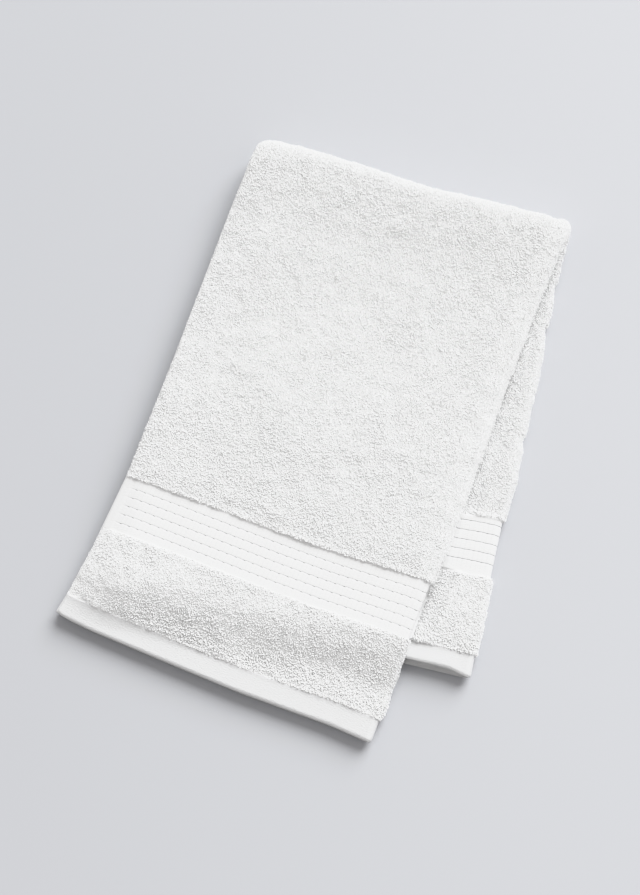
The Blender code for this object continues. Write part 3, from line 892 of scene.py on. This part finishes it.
def surfaceAxes(share, facing, place):
    # outward normal and the direction along the cloth, by small steps
    step = pileLoops["probe"]
    here, shown = onOuterFace(share, facing, place)
    along = onOuterFace(share, facing, place + step)[0] - onOuterFace(share, facing, place - step)[0]
    flatPart = share < 1.0 - 1e-6
    shareStep = np.where(flatPart, step / halfWidth, 0.0)
    shareStep = np.where(facing < 0.0, shareStep, -shareStep)
    turnStep = np.where(flatPart, 0.0, pileLoops["probeTurn"])
    ahead = onOuterFace(share + shareStep, facing + turnStep, place)[0]
    behind = onOuterFace(share - shareStep, facing - turnStep, place)[0]
    normal, along = (way / np.maximum(np.linalg.norm(way, axis=1), 1e-12)[:, None]
                     for way in (np.cross(along, ahead - behind), along))
    return here, normal, along, shown


combing = {  # share of the loops' lean that goes one way
    "overHem": 0.85,  # the front of the terry strip hangs over the hem
    "hemFrom": 0.001,
    "hemReach": 0.004,
    "overBorder": 0.6,  # and the body's over the ribbed border
    "borderBefore": 0.002,
    "borderRamp": 0.001,
    "borderReach": 0.003,
    "sideFold": 0.35,
    "sideFrom": 0.2,
}
loopSize = {
    "covered": 0.55,  # least size where the upper half's edge lies close
    "openEdge": 0.6,  # at the open edge
    "openReach": 0.004,
    "sideLess": 0.10,  # round the side fold
    "sideFrom": 0.35,
    "sideRamp": 0.4,
    "body": 1.12,
    "middleLess": 0.12,
    "middlePlace": 0.165,
    "middleReach": 0.085,
    "uneven": 0.08,
    "broadCell": 0.030,
    "fineCell": 0.010,
    "foldLess": 0.20,  # beside the side fold
    "foldReach": 0.014,
    "foldRamp": 0.012,
    "strip": 1.05,
    "shag": 0.35,  # more towards the hem
    "shagReach": 0.026,
    "shagFrom": 0.020,  # from the open edge
    "shagRamp": 0.030,
    "calm": 0.22,  # less beside the open edge
    "calmRamp": 0.060,
    "calmFade": 0.7,
    "calmFrom": 0.036,  # from the hem's end
    "calmReach": 0.020,
    "stripUneven": 0.14,
    "stripCell": 0.008,
    "besideReach": 0.020,  # beside the upper half's round edge
    "besideBody": 0.25,
    "besideStrip": 0.20,
}


def combAt(fromEnd, facing):
    overHem = 1.0 - smooth((fromEnd - cloth["hemWidth"] - combing["hemFrom"]) / combing["hemReach"])
    past = fromEnd - zones["start"][3]
    beside = smooth((past + combing["borderBefore"]) / combing["borderRamp"])
    overBorder = (1.0 - smooth(past / combing["borderReach"])) * beside
    comb = np.maximum(overHem * combing["overHem"], overBorder * combing["overBorder"])
    return np.maximum(comb, (np.cos(facing) ** 2 > combing["sideFrom"]) * combing["sideFold"])


def buildPile(name, share, facing, place, seed, sizes):
    share, facing, place = loopPoints(share, facing, place, seed)
    here, normal, along, shown = surfaceAxes(share, facing, place)
    fromEnd = fromEndOf(place)
    kept = ((zoneValue("pile", fromEnd) > pileLoops["leastPile"]) & (shown > pileLoops["leastShown"])
            & (here[:, 2] > pileLoops["clearance"]))
    atEdge = smooth(share * halfWidth / loopSize["openReach"])
    onSide = smooth((np.cos(facing) - loopSize["sideFrom"]) / loopSize["sideRamp"])
    size = sizes(share, facing, place) * (loopSize["covered"] + (1.0 - loopSize["covered"]) * shown)
    size = size * (loopSize["openEdge"] + (1.0 - loopSize["openEdge"]) * atEdge)
    size = size * (1.0 - loopSize["sideLess"] * onSide)
    mesh = bpy.data.meshes.new(name)
    mesh.from_pydata(here[kept].tolist(), [], [])
    lie = along * np.where(place > 0.0, 1.0, -1.0)[:, None]
    for label, kind, field, values in (("stand", "FLOAT_VECTOR", "vector", normal),
                                       ("lie", "FLOAT_VECTOR", "vector", lie),
                                       ("comb", "FLOAT", "value", combAt(fromEnd, facing)),
                                       ("size", "FLOAT", "value", size)):
        layer = mesh.attributes.new(label, kind, "POINT")
        layer.data.foreach_set(field, values[kept].astype(np.float32).ravel())
    seeds = addObject(name + "Seeds", mesh)
    modifier = seeds.modifiers.new("Pile", "NODES")
    modifier.node_group = pileTree
    values = {label: pileLoops[key] for label, key in pileInputs.items()}
    values.update({"Seed": seed, "Material": whiteYarn})
    for item in pileTree.interface.items_tree:
        if item.in_out == "INPUT" and item.name in values:
            modifier[item.identifier] = values[item.name]
    ready = seeds.evaluated_get(bpy.context.evaluated_depsgraph_get())
    made = bpy.data.meshes.new_from_object(ready)
    bpy.data.objects.remove(seeds)
    made.name = name
    print(name, int(kept.sum()), "loops", triangleCount(made), "triangles")
    return addObject(name, made)


def stations(start, end, pitch):
    count = round((end - start) / pitch)
    return start + (end - start) * (np.arange(count) + 0.5) / count


def pileColumns(onTop):
    # the side fold and one layer beside it: the one that ends on top, or else the lower half's
    turn = stations(-math.pi / 2.0, math.pi / 2.0,
                    pileLoops["pitch"] / (cloth["bodySpacing"] / 2.0 + cloth["pileSide"]))
    panel = stations(0.0 if onTop else pileLoops["lowerFrom"], 1.0, pileLoops["pitch"] / halfWidth)
    shares, facings = (panel, np.ones(len(turn))), (np.full(len(panel), -math.pi / 2.0), turn)
    if not onTop:
        shares, facings = (shares[1], panel[::-1]), (turn, -facings[0])
    return np.concatenate(shares), np.concatenate(facings)


def besideUpper(share, place):
    # from 1 on the lower half at the upper half's round edge to 0 further out
    gap = -place * math.tan(2.0 * fold["lean"]) - (1.0 - share) * halfWidth
    return (1.0 - smooth(gap / loopSize["besideReach"])) * (place < 0.0)


def bodySize(share, facing, place):
    across = share * halfWidth
    besideFold = smooth((across - halfWidth + loopSize["foldReach"]) / loopSize["foldRamp"])
    besideFold = besideFold * smooth(-facing * 3.0 + 1.0)
    middle = 1.0 - smooth(np.abs(place - loopSize["middlePlace"]) / loopSize["middleReach"])
    size = (loopSize["body"] - loopSize["middleLess"] * middle
            + loopSize["uneven"] * softNoise(across, place, loopSize["broadCell"], 11)
            + loopSize["uneven"] * softNoise(across, place, loopSize["fineCell"], 12))
    return (size * (1.0 - loopSize["foldLess"] * besideFold)
            * (1.0 + loopSize["besideBody"] * besideUpper(share, place)))


def stripSize(share, facing, place):
    fromEnd, across = fromEndOf(place), share * halfWidth
    inwards = across - loopSize["shagFrom"]
    shag = 1.0 - smooth((fromEnd - cloth["hemWidth"]) / loopSize["shagReach"])
    shag = shag * smooth(inwards / loopSize["shagRamp"])
    calm = (1.0 - smooth(inwards / loopSize["calmRamp"])) * (place > 0.0)
    fade = smooth((fromEnd - loopSize["calmFrom"]) / loopSize["calmReach"])
    calm = calm * (1.0 - loopSize["calmFade"] * fade)
    return (loopSize["strip"] + loopSize["shag"] * shag - loopSize["calm"] * calm
            + loopSize["besideStrip"] * besideUpper(share, place)
            + loopSize["stripUneven"] * softNoise(across, place, loopSize["stripCell"], 13))


def buildAllPile():
    pitch, low, high = pileLoops["pitch"], -cloth["lowerLength"], cloth["upperLength"]
    hem, border, body = zones["start"][1:]
    crestEnd, middleEnd = pileLoops["crestEnd"], pileLoops["middleEnd"]
    crest = np.concatenate((stations(-bend, bend, pitch / 2.0), stations(bend, crestEnd, pitch)))
    lower = np.concatenate((stations(low + hem, low + border, pitch),
                            stations(low + body, -bend, pitch)))
    pieces = []
    for seed, name, rows, sizes in (
            (21, "pileCrest", crest, bodySize),
            (22, "pileMiddle", stations(crestEnd, middleEnd, pitch), bodySize),
            (23, "pileFront", stations(middleEnd, high - body, pitch), bodySize),
            (24, "pileStrip", stations(high - border, high - hem, pitch), stripSize),
            (25, "pileLower", lower, stripSize)):
        columns = pileColumns(onTop=name != "pileLower")
        pieces.append(buildPile(name, *columns, rows, seed, sizes))
    return pieces


pilePieces = buildAllPile()


for piece in [towelCloth, *pilePieces]:
    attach(piece, "root")
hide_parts("hand_towel")


# Floor, camera and light

studio = {
    "floorSize": 6.0,
    "floorReach": 0.40,  # painted light: the floor's colour grows paler from left to right over twice this
    # painted shade: the floor's colour at its left end, as a share of its colour at the right
    "floorPaintedShade": 0.905,
    "floorTone": (0.553, 0.560, 0.583),
    "worldTone": (1.0, 0.985, 0.975),
    "worldStrength": 0.565,
    "keyTone": (0.985, 0.995, 1.0),
    "keyPower": 1880.0,
    "keySize": 8.8,
    "keyPlace": (2.33, 8.47, 6.62),
}
view = {
    "azimuth": math.radians(17.60),
    "elevation": math.radians(74.0),
    "distance": 1.0529,
    "target": (-0.0062, -0.0134, 0.0),
    "lens": 60.34,
    "sensor": 36.0,
}


def buildFloor():
    bpy.ops.mesh.primitive_plane_add(size=studio["floorSize"])
    floor = bpy.context.object
    floor.name = "floor"
    material, tree, shader = newMaterial("paleFloor", 0.75)
    place = addNode(tree, "ShaderNodeTexCoord").outputs["Object"]
    split = addNode(tree, "ShaderNodeSeparateXYZ", {0: place})
    reach, tone = studio["floorReach"], studio["floorTone"]
    # painted shade: the floor's colour is darker at the left than at the right
    paintedShadeTone = tuple(studio["floorPaintedShade"] * value for value in tone)
    across = addStep(split.outputs["X"], -reach, reach)
    feed(shader.inputs["Base Color"], mixColour(across, paintedShadeTone, tone))
    floor.data.materials.append(material)


def aim(item, target):
    direction = np.array(target) - np.array(item.location)
    item.rotation_euler = Vector(direction).to_track_quat("-Z", "Y").to_euler()


def buildCamera():
    az, el = view["azimuth"], view["elevation"]
    back = np.array((math.sin(az) * math.cos(el), -math.cos(az) * math.cos(el), math.sin(el)))
    data = bpy.data.cameras.new("camera")
    data.sensor_fit = "VERTICAL"
    data.sensor_height = view["sensor"]
    data.lens = view["lens"]
    camera = addObject("camera", data)
    camera.location = np.array(view["target"]) + back * view["distance"]
    aim(camera, view["target"])
    bpy.context.scene.camera = camera


def buildLight():
    data = bpy.data.lights.new("key", "AREA")
    data.shape = "DISK"
    data.size = studio["keySize"]
    data.energy = studio["keyPower"]
    data.color = studio["keyTone"]
    key = addObject("key", data)
    key.location = studio["keyPlace"]
    aim(key, (0.0, 0.0, 0.0))
    world = bpy.data.worlds.new("studio")
    world.use_nodes = True
    background = world.node_tree.nodes["Background"]
    background.inputs["Color"].default_value = (*studio["worldTone"], 1.0)
    background.inputs["Strength"].default_value = studio["worldStrength"]
    bpy.context.scene.world = world
    bpy.context.scene.view_settings.view_transform = "Khronos PBR Neutral"


buildFloor()
buildCamera()
buildLight()
